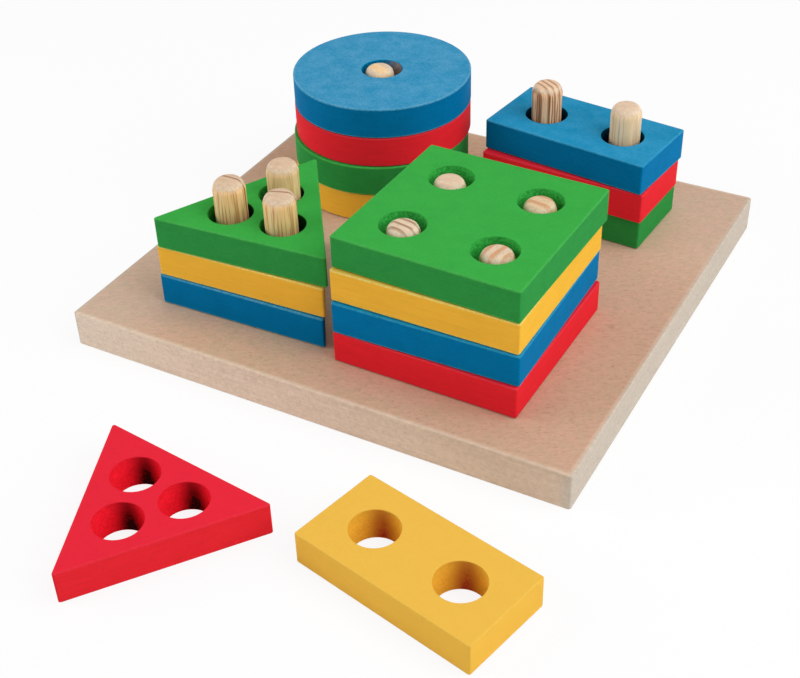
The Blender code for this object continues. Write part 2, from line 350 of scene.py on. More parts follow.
@dataclass(frozen=True)
class PaintFinish:
    """Thin matt paint on sawn fibreboard, with a colour of its own on the outer walls, scant on the eased
    edges and with a highlight painted there.

    The board shows bare where a drill has torn its paint, and shade is painted low on one side of some
    bores.

    Attributes:
        name: The paint's name, which with _finish names its material.
        body: The colour of the faces.
        side: The colour of the outer walls.
        thin_paint_and_highlight: The colour of the eased edges, where the paint is thin and a highlight is
            painted.
        deep: The colour inside a bore, lighter than the faces in green and red as painted light, and darker
            in blue as painted shade.
        painted_shade_colour: The colour of the shade painted low on one side of a bore.
        uneven: How much its tone wanders.
        clouds: How many wide patches of tone a metre holds.
        blotches: How many small patches it holds.
        specks: How many specks it holds.
        sheets: How many patches of the sawn wall it holds along each axis, most of all in height.
        tool_pitch: The height between the rings that a drill leaves.
        relief: How deep its bumps are.
        gloss: Its specular level.
    """

    name: str
    body: Colour
    side: Colour
    thin_paint_and_highlight: Colour
    deep: Colour
    painted_shade_colour: Colour
    uneven: float
    clouds: float = 26.0
    blotches: float = 150.0
    specks: float = 850.0
    sheets: Scale = (70.0, 70.0, 1100.0)
    tool_pitch: float = 1.3 * MILLIMETRE
    relief: float = 0.08 * MILLIMETRE
    gloss: float = 0.01

    def material(self) -> bpy.types.Material:
        """Make the paint.

        Returns:
            The material, which reads the marks of a block's points.
        """
        bench = Bench(self.name + "_finish")
        place = bench.place()
        height = bench.axes(place)[2]
        arris, bore, side = (bench.mark(name) for name in ("arris", "bore", "side"))
        cloud = bench.grain(place, self.clouds, detail=3.0)
        blotch = bench.grain(place, self.blotches)
        peel = bench.grain(place, self.specks, rough=0.6)
        layered = bench.grain(bench.mapped(place, scale=self.sheets), 1.0, detail=3.0, rough=0.6)
        turned = (height * (math.tau / self.tool_pitch) + blotch * 8.0).wave()
        chatter = bore * turned * (0.35 + blotch * 2.0).clamped()
        tone = 1.0 + (cloud * 0.10 + blotch * 0.20 + peel * 0.28) * self.uneven + side * layered * 0.20
        tone = tone + chatter * (0.20 * self.uneven) + bore * peel * (1.6 * self.uneven)
        colour = bench.mix(side, self.body, self.side)
        # painted light inside the green and red bores, painted shade inside the blue ones
        colour = bench.mix(bore, colour, self.deep)
        colour = bench.toned(colour, tone)
        # thin paint on the eased edges, with a painted highlight along them
        worn_and_highlit = arris * (0.42 + cloud * 0.6 + peel * 1.4)
        colour = bench.mix(worn_and_highlit.clamped(), colour, self.thin_paint_and_highlight)
        # painted sheen, whitening the top face
        colour = bench.mix(bench.mark("fade") * (1.0 + blotch * 2.0 + peel * 2.0), colour, WHITE)
        # painted shade, low on one side of a bore
        colour = bench.mix((bench.mark("scorch") * (1.0 + peel * 0.8)).clamped(), colour, self.painted_shade_colour)
        colour = bench.mix((bench.mark("bare") * (1.0 + peel * 2.0)).clamped(), colour, RAW_BOARD)
        roughness = 0.52 + cloud * 0.12 + peel * 0.12 + bore * 0.14
        relief = peel * 0.6 + side * layered * 0.5 + chatter * 0.5
        return bench.finish(colour, roughness, relief, self.relief, {"Specular IOR Level": self.gloss})


@dataclass(frozen=True)
class PineFinish:
    """Turned pine with its growth rings cut across on the end and as streaks down the side.

    Attributes:
        angle: The direction of the lines on the end, from +X, in degrees.
        spacing: The distance between lines, in millimetres.
        start: How far the first line lies beyond the axis, in millimetres.
        width: The share of the spacing that a line takes.
        strength: How dark the lines are.
        streaks: How strong the stripes down the side are.
        stripes: How closely the stripes follow each other round the side.
        blush: How pink the end is.
        pale: The colour of the early wood.
        line: The colour of the late wood, which makes the lines.
        gold: The colour of the broad bands down the side.
        stripe: The colour of the narrow stripes down the side.
        bow: How much the rings bow along their length, for a metre.
        lean: How far they lean over, for a metre of height.
        bends: How many bends of theirs a metre holds.
        bend: How far they bend.
        bands: How closely the broad bands follow each other round the side.
        pores: How many pores a metre holds.
        end_pores: How many flecks of the end it holds.
        relief: How deep its bumps are.
        gloss: Its specular level.
    """

    angle: float
    spacing: float
    start: float
    width: float
    strength: float
    streaks: float = 0.7
    stripes: float = 9.0
    blush: float = 0.5
    pale: Colour = PALE_PINE
    line: Colour = PINK_LINE
    gold: Colour = GOLD
    stripe: Colour = TAN
    bow: float = 4.0
    lean: float = 0.012
    bends: float = 190.0
    bend: float = 0.9 * MILLIMETRE
    bands: float = 2.2
    pores: float = 1500.0
    end_pores: float = 700.0
    relief: float = 0.10 * MILLIMETRE
    gloss: float = 0.10

    def material(self, node: str) -> bpy.types.Material:
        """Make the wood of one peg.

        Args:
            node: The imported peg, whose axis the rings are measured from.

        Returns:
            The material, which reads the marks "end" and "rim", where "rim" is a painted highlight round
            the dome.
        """
        bench = Bench(node + "_finish")
        turn = -math.radians(self.angle)
        shift = -(Matrix.Rotation(turn, 3, "Z") @ peg_middle(node))
        place = bench.mapped(bench.place(), location=shift, turn=turn)
        along, across, height = bench.axes(place)
        outward = bench.add("ShaderNodeVectorMath", {"operation": "NORMALIZE"},
                            {"Vector": bench.mapped(place, scale=(1.0, 1.0, 0.0))})
        turn_x, turn_y, _ = bench.axes(outward)
        unrolled = bench.add("ShaderNodeCombineXYZ", inputs={"X": turn_x, "Y": turn_y, "Z": height * 4.0})
        wander = bench.grain(bench.mapped(place, scale=(1.0, 1.0, 0.18)), self.bends)
        ring = across + along * along * self.bow + wander * self.bend + height * self.lean
        phase = ((ring - self.start * MILLIMETRE) / (self.spacing * MILLIMETRE) + 0.5).part()
        late = (phase.step(0.5 - self.width, 0.5 - self.width * 0.3)
                * phase.step(0.5 + self.width * 0.5, 0.5 + self.width * 0.2))
        drawn_up = bench.mapped(place, scale=(1.0, 1.0, 0.035))
        pores = bench.grain(drawn_up, self.pores, detail=3.0, rough=0.65)
        narrow = bench.grain(unrolled, self.stripes, rough=0.6)
        broad = bench.grain(unrolled, self.bands, detail=1.0)
        end = (bench.mark("end") + narrow * 0.6).step(0.22, 0.66)
        side = 1.0 - end
        streak = side * self.streaks * (narrow + broad * 0.3).step(-0.01, 0.13)
        colour = bench.mix(end * self.blush, self.pale, PINK_END)
        colour = bench.mix((side * (0.35 + broad * 2.5)).clamped(), colour, self.gold)
        colour = bench.mix(streak, colour, self.stripe)
        colour = bench.mix((late * self.strength).clamped(), colour, self.line)
        # painted highlight round the dome's shoulder
        rim = bench.mark("rim") * end * (0.42 + pores * 0.6)
        colour = bench.mix(rim.clamped(), colour, PAINTED_RIM_LIGHT)
        drawn = bench.mapped(place, scale=(0.4, 1.0, 1.0))
        flecks = bench.grain(drawn, self.end_pores, detail=3.0, rough=0.7)
        colour = bench.toned(colour, 1.0 + pores * 0.45 + broad * 0.12 + end * flecks * 0.50)
        roughness = 0.58 + pores * 0.20 - late * 0.10
        relief = pores * 0.7 + broad * 0.4 - late * 0.4
        return bench.finish(colour, roughness, relief, self.relief, {"Specular IOR Level": self.gloss})


@dataclass(frozen=True)
class StainAndPaintedShading:
    """A soft round patch on the board's face and on its front and back. Small ones are stains, wide dark
    ones painted shade and wide pale ones painted light.

    Attributes:
        x: Its middle's X.
        y: Its middle's Y.
        radius: Its radius.
        strength: How strong it is.
        colour: The colour that it turns the board towards.
        core: The share of its radius that it fills evenly.
    """

    x: float
    y: float
    radius: float
    strength: float
    colour: Colour = SOIL_AND_SHADE
    core: float = 0.3

    def shade(self, bench: Bench, place: Signal) -> Signal:
        """Work out the mark.

        Args:
            bench: The material's bench.
            place: The point on the surface.

        Returns:
            Its strength over the core, falling to 0 at its radius.
        """
        x, y, _ = bench.axes(bench.mapped(place, location=Vector((-self.x, -self.y, 0.0))))
        return (x * x + y * y).root().step(self.radius, self.radius * self.core) * self.strength


@dataclass(frozen=True)
class BoardFinish:
    """Bare pressed board: a pinkish tan face with short fibres, and paler sawn edges.

    Attributes:
        name: The material's name.
        tan: The main colour of the face.
        pink: The colour of its warmer patches.
        fibre: The colour of the dark fibres.
        long_edge_and_painted_light: The colour of the sawn front and back, paler than the ends as painted
            light.
        short_edge: The colour of the sawn ends.
        lie: The direction of the fibres, from +X, in degrees.
        stains_and_painted_shading: Its stains, and its patches of painted shade and painted light.
        clouds: How many wide patches of tone a metre holds.
        patches: How many small patches it holds.
        dashes: How many short fibres it holds, across them.
        chips: How many wider chips it holds, across them.
        sheets: How many patches of a sawn edge it holds along each axis, most of all in height.
        relief: How deep its bumps are.
        gloss: Its specular level.
    """

    name: str
    tan: Colour
    pink: Colour
    fibre: Colour
    long_edge_and_painted_light: Colour
    short_edge: Colour
    lie: float
    stains_and_painted_shading: tuple[StainAndPaintedShading, ...]
    clouds: float = 14.0
    patches: float = 190.0
    dashes: float = 1150.0
    chips: float = 520.0
    sheets: Scale = (40.0, 40.0, 900.0)
    relief: float = 0.10 * MILLIMETRE
    gloss: float = 0.08

    def material(self) -> bpy.types.Material:
        """Make the board.

        Returns:
            The material, which reads the marks "edge" and "short".
        """
        bench = Bench(self.name)
        place = bench.place()
        edge, short = bench.mark("edge"), bench.mark("short")
        lying = bench.mapped(place, turn=-math.radians(self.lie))
        cloud = bench.grain(place, self.clouds)
        patch = bench.grain(place, self.patches)
        dashes = bench.grain(bench.mapped(lying, scale=(0.38, 1.0, 1.0)), self.dashes, rough=0.55)
        chips = bench.grain(bench.mapped(lying, scale=(0.5, 1.0, 1.0)), self.chips)
        sheets = bench.grain(bench.mapped(place, scale=self.sheets), 1.0, detail=3.0, rough=0.6)
        colour = bench.mix((0.5 + cloud * 1.4 + patch * 2.2).clamped(), self.tan, self.pink)
        dark = dashes.step(0.02, 0.20) * 0.46
        colour = bench.mix(dark, colour, self.fibre)
        # the front and back are paler than the ends, as painted light
        sawn = bench.mix(short, self.long_edge_and_painted_light, self.short_edge)
        colour = bench.mix(edge * (0.90 + sheets * 0.4), colour, sawn)
        # stains, painted shade and painted light, kept off the ends
        for stain_and_shading in self.stains_and_painted_shading:
            shade = stain_and_shading.shade(bench, place) * (1.0 - short) * (1.0 + dashes)
            colour = bench.mix(shade, colour, stain_and_shading.colour)
        tone = 1.0 + cloud * 0.08 + chips * 0.28 + dashes * 0.46 + edge * sheets * 0.16
        colour = bench.toned(colour, tone)
        roughness = 0.68 + chips * 0.16 + patch * 0.10
        relief = dashes * 0.6 + chips * 0.5 + edge * sheets * 0.5
        return bench.finish(colour, roughness, relief, self.relief, {"Specular IOR Level": self.gloss})


class Shape(Enum):
    """The outlines that the blocks are sawn to."""

    SQUARE = "square"
    RECTANGLE = "rectangle"
    TRIANGLE = "triangle"
    DISC = "disc"


class Paint(Enum):
    """The four paints."""

    GREEN = PaintFinish("green_paint", body=(0.045, 0.392, 0.062), side=(0.030, 0.300, 0.060),
                        thin_paint_and_highlight=(0.160, 0.520, 0.170), deep=(0.050, 0.500, 0.080), painted_shade_colour=(0.006, 0.035, 0.008),
                        uneven=0.85)
    YELLOW = PaintFinish("yellow_paint", body=(0.865, 0.508, 0.076), side=(0.925, 0.512, 0.050),
                         thin_paint_and_highlight=(0.930, 0.790, 0.230), deep=(0.900, 0.500, 0.050), painted_shade_colour=(0.420, 0.055, 0.030),
                         uneven=0.22)
    BLUE = PaintFinish("blue_paint", body=(0.002, 0.265, 0.495), side=(0.001, 0.182, 0.420),
                       thin_paint_and_highlight=(0.180, 0.410, 0.590), deep=(0.001, 0.180, 0.380), painted_shade_colour=(0.001, 0.015, 0.040),
                       uneven=1.0)
    RED = PaintFinish("red_paint", body=(0.830, 0.024, 0.048), side=(0.845, 0.024, 0.036),
                      thin_paint_and_highlight=(0.850, 0.120, 0.110), deep=(0.960, 0.018, 0.040), painted_shade_colour=(0.030, 0.004, 0.004),
                      uneven=0.35)


@dataclass(frozen=True)
class Plan:
    """How an outline starts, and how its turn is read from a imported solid.

    Attributes:
        corners: How many corners its circle starts with.
        first: The turn that brings those corners to the outline's.
        corner_radius: The radius of its upright corners.
        corner_steps: The segments of such a corner, and 0 for a round outline.
        order: How often the outline repeats in a turn, and 0 for one that isn't turned.
        lead: The phase of its wall normals when it isn't turned.
        bores: The bores' places, as shares of the spacing between two of them.
    """

    corners: int
    first: float
    corner_radius: float
    corner_steps: int
    order: int = 0
    lead: float = 0.0
    bores: tuple[Vector, ...] = (Vector(),)


TO_CORNER = 1.0 / math.sqrt(3.0)  # from a triangle's middle to its corner, as a share of its side
CORNER_RADIUS = 0.86 * MILLIMETRE
SHARP_CORNER_RADIUS = 1.58 * MILLIMETRE
PLANS = {
    Shape.SQUARE: Plan(corners=4, first=math.radians(45), corner_radius=CORNER_RADIUS, corner_steps=6,
                       order=4, bores=tuple(Vector((x, y, 0.0)) for x in (-0.5, 0.5) for y in (-0.5, 0.5))),
    Shape.RECTANGLE: Plan(corners=4, first=math.radians(45), corner_radius=CORNER_RADIUS, corner_steps=6,
                          order=2, lead=math.pi, bores=(Vector((-0.5, 0.0, 0.0)), Vector((0.5, 0.0, 0.0)))),
    Shape.TRIANGLE: Plan(corners=3, first=0.0, corner_radius=SHARP_CORNER_RADIUS, corner_steps=8,
                         order=3, lead=math.pi / 2,
                         bores=(Vector((-0.5, -TO_CORNER / 2, 0.0)), Vector((0.5, -TO_CORNER / 2, 0.0)),
                                Vector((0.0, TO_CORNER, 0.0)))),
    Shape.DISC: Plan(corners=160, first=0.0, corner_radius=0.0, corner_steps=0),
}


@dataclass(frozen=True)
class Seat:
    """Where a packed block lies, and how large it is.

    Attributes:
        centre: The middle of its underside.
        turn: Its turn about Z.
        reach: How far its walls lie from the centre along its own X and Y, as the inradius of a triangle.
        height: Its thickness.
    """

    centre: Vector
    turn: float
    reach: Vector
    height: float

    @classmethod
    def of(cls, node: str, shape: Shape) -> "Seat":
        """Measure a packed block.

        Each of its triangles spans a tetrahedron with the origin, and these add up to its volume and its
        middle. The directions of its walls, each raised to the outline's order, add up to its turn.

        Args:
            node: The block's node.
            shape: Its outline.

        Returns:
            Its seat.
        """
        plan = PLANS[shape]
        low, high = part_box(node)
        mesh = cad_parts[node].data
        middle, volume, moment = Vector(), 0.0, 0j
        for face in mesh.polygons:
            a, b, c = (mesh.vertices[i].co for i in face.vertices)
            share = a.dot(b.cross(c)) / 6
            volume += share
            middle += (a + b + c) * (share / 4)
            wall = complex(face.normal.x, face.normal.y)
            if abs(wall) > WALL_PART:
                moment += face.area * wall ** plan.order
        middle /= volume
        turn = 0.0
        if plan.order:
            lead = complex(math.cos(plan.lead), math.sin(plan.lead))
            turned = moment / lead
            turn = math.atan2(turned.imag, turned.real) / plan.order
        centre = Vector((middle.x, middle.y, low.z))
        undo = Matrix.Rotation(-turn, 3, "Z")
        own = [undo @ (vertex.co - centre) for vertex in mesh.vertices]
        reach = Vector((max(p.x for p in own), -min(p.y for p in own)))
        if shape is Shape.TRIANGLE:
            reach.x = reach.y
        return cls(centre, turn, reach, high.z - low.z)


def peg_middle(node: str) -> Vector:
    """The axis of a packed peg, in plan."""
    low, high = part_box(node)
    return Vector(((low.x + high.x) / 2, (low.y + high.y) / 2, 0.0))


class Loop:
    """A closed ring of edges that climbs a wall and eases in or out as it goes."""

    def __init__(self, form: BMesh, edges: list[BMEdge], centre: Vector, reach: Vector, side: int) -> None:
        """Take over a ring.

        Args:
            form: The mesh that it belongs to.
            edges: The ring's edges.
            centre: The point that it shrinks to.
            reach: How far its wall lies from that point along X and Y.
            side: 1 for an outer wall, which shrinks as it eases, and -1 for a bore, which widens.
        """
        self.form = form
        self.edges = edges
        self.centre = centre
        self.reach = reach
        self.side = side
        self.ease = 0.0
        self.height = 0.0

    def vertices(self) -> list[BMVert]:
        """The ring's points."""
        return list(dict.fromkeys(v for e in self.edges for v in e.verts))

    def move_to(self, ease: float, height: float) -> None:
        """Ease the ring and set its height.

        Args:
            ease: How far it lies inside the wood from the wall.
            height: Its height.
        """
        points = self.vertices()
        scale = [(r - self.side * ease) / (r - self.side * self.ease) for r in self.reach]
        bmesh.ops.scale(self.form, vec=(*scale, 1.0), space=Matrix.Translation(-self.centre), verts=points)
        bmesh.ops.translate(self.form, vec=UP * (height - self.height), verts=points)
        self.ease, self.height = ease, height

    def climb(self, ease: float, height: float) -> None:
        """Raise a strip of wall to a new ring.

        Args:
            ease: How far the new ring lies inside the wood.
            height: Its height.
        """
        made = bmesh.ops.extrude_edge_only(self.form, edges=self.edges)["geom"]
        points = {g for g in made if isinstance(g, BMVert)}
        rims = (g for g in made if isinstance(g, BMEdge))
        self.edges = [edge for edge in rims if all(end in points for end in edge.verts)]
        self.move_to(ease, height)

    def label(self, marks: dict[Any, float]) -> None:
        """Write marks on the ring's points.

        Args:
            marks: The value of each layer.
        """
        for point in self.vertices():
            for layer, value in marks.items():
                point[layer] = value

    def raise_wall(self, stops: list["Stop"], marks: Callable[["Stop"], dict[Any, float]]) -> list[BMEdge]:
        """Raise the whole wall, and stay at its top ring.

        Args:
            stops: The wall's profile, from the underside up.
            marks: What the points of a ring carry.

        Returns:
            The edges of its lowest ring.
        """
        self.move_to(stops[0].ease, stops[0].height)
        bottom = self.edges
        for stop in stops[1:]:
            self.climb(stop.ease, stop.height)
            self.label(marks(stop))
        return bottom


@dataclass(frozen=True)
class Stop:
    """One ring of a wall's profile.

    Attributes:
        ease: How far it lies inside the wood.
        height: Its height.
        arris: How much of it is eased edge.
        wall: How much of it is plain wall.
    """

    ease: float
    height: float
    arris: float = 0.0
    wall: float = 0.0


@dataclass(frozen=True)
class EdgeProfile:
    """How a sawn edge is eased at both faces of a sheet.

    Attributes:
        radius: The radius of the arris.
        steps: Its segments.
        border: The flat ring kept beside it, so that the faces shade flat.
        rings: The rings on the wall between the arrises.
        ripple: How far every second ring of the wall lies inside the wood.
    """

    radius: float = 0.5 * MILLIMETRE
    steps: int = 4
    border: float = 0.4 * MILLIMETRE
    rings: int = 3
    ripple: float = 0.0

    def stops(self, height: float) -> list[Stop]:
        """Work out the profile.

        Args:
            height: The sheet's thickness.

        Returns:
            Its rings from the underside up.
        """
        rise = []
        for step in range(self.steps + 1):
            angle = math.pi / 2 * step / self.steps
            rise.append((self.radius * (1 - math.sin(angle)), self.radius * (1 - math.cos(angle))))
        lower = [Stop(self.radius + self.border, 0.0)]
        lower += [Stop(ease, up, arris=1.0) for ease, up in rise]
        upper = [Stop(stop.ease, height - stop.height, stop.arris) for stop in reversed(lower)]
        low, high = self.radius + self.border, height - self.radius - self.border
        wall = []
        for ring in range(self.rings):
            share = ring / (self.rings - 1)
            wall.append(Stop(self.ripple * (ring % 2), low + (high - low) * share, wall=1.0))
        return lower + wall + upper


def start_ring(form: BMesh, corners: int, reach: float, turn: float) -> list[BMVert]:
    """Draw a regular outline about the origin, as one face.

    Args:
        form: The mesh to draw in.
        corners: How many corners it has.
        reach: How far its corners lie from the origin.
        turn: Its turn about Z.

    Returns:
        Its corners.
    """
    return bmesh.ops.create_circle(form, cap_ends=True, segments=corners, radius=reach,
                                   matrix=Matrix.Rotation(turn, 4, "Z"))["verts"]


def open_ring(form: BMesh, points: list[BMVert]) -> list[BMEdge]:
    """Take the face off a drawn outline.

    Args:
        form: The mesh that it is drawn in.
        points: The outline's points.

    Returns:
        The outline's edges.
    """
    faces = list(dict.fromkeys(f for p in points for f in p.link_faces))
    edges = list(dict.fromkeys(e for f in faces for e in f.edges))
    bmesh.ops.delete(form, geom=faces, context="FACES_ONLY")
    return edges


def cut_finer(form: BMesh, edges: list[BMEdge], pitch: float) -> list[BMEdge]:
    """Divide the long edges of a ring.

    Args:
        form: The mesh that it belongs to.
        edges: The ring's edges.
        pitch: The longest edge that stays.

    Returns:
        The ring's edges after the cuts.
    """
    ring = set(edges)
    for edge in [e for e in edges if e.calc_length() > pitch]:
        made = bmesh.ops.subdivide_edges(form, edges=[edge], cuts=round(edge.calc_length() / pitch))
        ring |= {g for g in made["geom_split"] if isinstance(g, BMEdge)}
    return [e for e in ring if e.is_valid]


def draw_outline(form: BMesh, plan: Plan, reach: Vector, pitch: float) -> Loop:
    """Draw the ring of an outer wall about the origin.

    Args:
        form: The mesh to draw in.
        plan: The outline.
        reach: How far its walls lie from the origin along X and Y.
        pitch: The longest edge along a straight side.

    Returns:
        The ring.
    """
    inradius = math.cos(math.pi / plan.corners) if plan.corner_steps else 1.0
    points = start_ring(form, plan.corners, 1.0 / inradius, plan.first)
    bmesh.ops.scale(form, vec=(*reach, 1.0), verts=points)
    if not plan.corner_steps:
        return Loop(form, open_ring(form, points), Vector(), reach, 1)
    points = bmesh.ops.bevel(form, geom=points, affect="VERTICES", offset=plan.corner_radius,
                             offset_type="OFFSET", segments=plan.corner_steps, profile=0.5,
                             material=-1)["verts"]
    return Loop(form, cut_finer(form, open_ring(form, points), pitch), Vector(), reach, 1)


def draw_bore(form: BMesh, axis: Vector, height: float, radius: float, steps: int) -> Loop:
    """Draw the ring of a bore.

    Args:
        form: The mesh to draw in.
        axis: The bore's axis, in plan.
        height: The ring's height.
        radius: Its radius.
        steps: Its segments.

    Returns:
        The ring.
    """
    points = start_ring(form, steps, radius, 0.0)
    bmesh.ops.translate(form, vec=axis + UP * height, verts=points)
    ring = Loop(form, open_ring(form, points), axis, Vector((radius, radius)), -1)
    ring.height = height
    return ring


def put_up(name: str, data: Any) -> bpy.types.Object:
    """Put a new object into the scene.

    Args:
        name: Its name.
        data: Its mesh, light or camera.

    Returns:
        The object.
    """
    made = bpy.data.objects.new(name, data)
    bpy.context.scene.collection.objects.link(made)
    return made


def piece_from(form: BMesh, name: str, body: str, material: bpy.types.Material,
               nodes: list[str]) -> bpy.types.Object:
    """Turn a modelled form into a piece of the toy.

    Args:
        form: The form, which is freed.
        name: The piece's name.
        body: The body that it rides on.
        material: Its finish.
        nodes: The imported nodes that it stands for.

    Returns:
        The piece.
    """
    bmesh.ops.remove_doubles(form, verts=form.verts, dist=WELD_WIDTH)
    bmesh.ops.recalc_face_normals(form, faces=form.faces)
    mesh = bpy.data.meshes.new(name)
    form.to_mesh(mesh)
    form.free()
    mesh.shade_smooth()
    mesh.set_sharp_from_angle(angle=SHARP_ANGLE)
    mesh.materials.append(material)
    piece = put_up(name, mesh)
    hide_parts(*nodes)
    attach(piece, body)
    log.info("%s: %d faces, rides on %s", name, len(mesh.polygons), body)
    return piece


@dataclass(frozen=True)
class Wear:
    """How the paint of one block differs from even paint, with the sheen and shade painted on it.

    Attributes:
        fade: How much painted sheen whitens its top face.
        edge_wear_and_highlight: How much thin paint and painted highlight its eased edges show.
        wall_colour_share: How much of the outer walls' own colour it has.
        scorch: How strong the shade painted low in its bores is.
        bare: How much of the board the drill has laid bare in them.
        shade_and_bare_side: The direction in which a bore shows both most, from +X, in degrees.
        shade_and_bare_width: How far they reach round the bore, in degrees.
        drill_fade: How much of them is lost from the foot of a bore to its top.
    """

    fade: float = 0.0
    edge_wear_and_highlight: float = 0.3
    wall_colour_share: float = 1.0
    scorch: float = 0.0
    bare: float = 0.0
    shade_and_bare_side: float = 98.0
    shade_and_bare_width: float = 25.0
    drill_fade: float = 0.6


@dataclass
class Block:
    """One painted block, bored for its pegs.

    Attributes:
        shape: Its outline.
        paint: Its paint.
        spacing: The distance between two of its bores.
        bore_radius: The radius of a bore.
        wear: How its paint differs.
        bore_edge: The profile of a bore.
        bore_steps: The segments round a bore.
        pitch: The longest edge along a straight side.
    """

    shape: Shape
    paint: Paint
    spacing: float
    bore_radius: float
    wear: Wear
    bore_edge: EdgeProfile = EdgeProfile(radius=0.25 * MILLIMETRE, steps=3, border=0.2 * MILLIMETRE,
                                         rings=13, ripple=0.035 * MILLIMETRE)
    bore_steps: int = 96
    pitch: float = 3.5 * MILLIMETRE

    def build(self, materials: dict[Paint, bpy.types.Material]) -> bpy.types.Object:
        """Model and dress the block.

        Args:
            materials: The paints.

        Returns:
            The piece.
        """
        colour = self.paint.name.lower()
        node = f"{self.shape.value}_{colour}"
        seat = Seat.of(node, self.shape)
        form = bmesh.new()
        layers = form.verts.layers.float
        arris, bore, side, fade = (layers.new(name) for name in ("arris", "bore", "side", "fade"))
        plan = PLANS[self.shape]
        outer = draw_outline(form, plan, seat.reach, self.pitch)
        bores = [draw_bore(form, share * self.spacing, 0.0, self.bore_radius, self.bore_steps)
                 for share in plan.bores]
        # the eased edges carry thin paint and a painted highlight
        bottoms = outer.raise_wall(EdgeProfile().stops(seat.height), lambda stop: {
            arris: stop.arris * self.wear.edge_wear_and_highlight, side: stop.wall * self.wear.wall_colour_share})
        tops = list(outer.edges)
        for loop in bores:
            bottoms += loop.raise_wall(self.bore_edge.stops(seat.height), lambda stop: {bore: stop.wall})
            tops += loop.edges
        for ring in (bottoms, tops):
            bmesh.ops.triangle_fill(form, edges=ring, use_beauty=True, use_dissolve=False)
        # painted sheen goes on the top face only
        for point in form.verts:
            point[fade] = self.wear.fade * (point.co.z > seat.height - FACE_DEPTH)
        settle = Matrix.Translation(seat.centre) @ Matrix.Rotation(seat.turn, 4, "Z")
        bmesh.ops.transform(form, matrix=settle, verts=form.verts)
        self._paint_shade_and_bare(form, [settle @ loop.centre for loop in bores], seat)
        return piece_from(form, f"{node}_painted", f"{colour}_{self.shape.value}_block",
                          materials[self.paint], [node])

    def _paint_shade_and_bare(self, form: BMesh, axes: list[Vector], seat: Seat) -> None:
        """Paint shade into the bores and mark where they show bare board, most of all low down on one side.

        Args:
            form: The settled block.
            axes: Where the bores are.
            seat: Where the block lies.
        """
        bore = form.verts.layers.float["bore"]
        scorch, bare = (form.verts.layers.float.new(name) for name in ("scorch", "bare"))
        for point in form.verts:
            if point[bore]:
                axis = min(axes, key=lambda place: (point.co - place).xy.length)
                out = point.co - axis
                astray = math.degrees(math.atan2(out.y, out.x)) - self.wear.shade_and_bare_side
                astray = (astray + 180.0) % 360.0 - 180.0
                depth = 1.0 - self.wear.drill_fade * (point.co.z - seat.centre.z) / seat.height
                reach = depth * math.exp(-(astray / self.wear.shade_and_bare_width) ** 2)
                # one patch carries the painted shade and the bare board
                point[scorch] = self.wear.scorch * reach
                point[bare] = self.wear.bare * reach


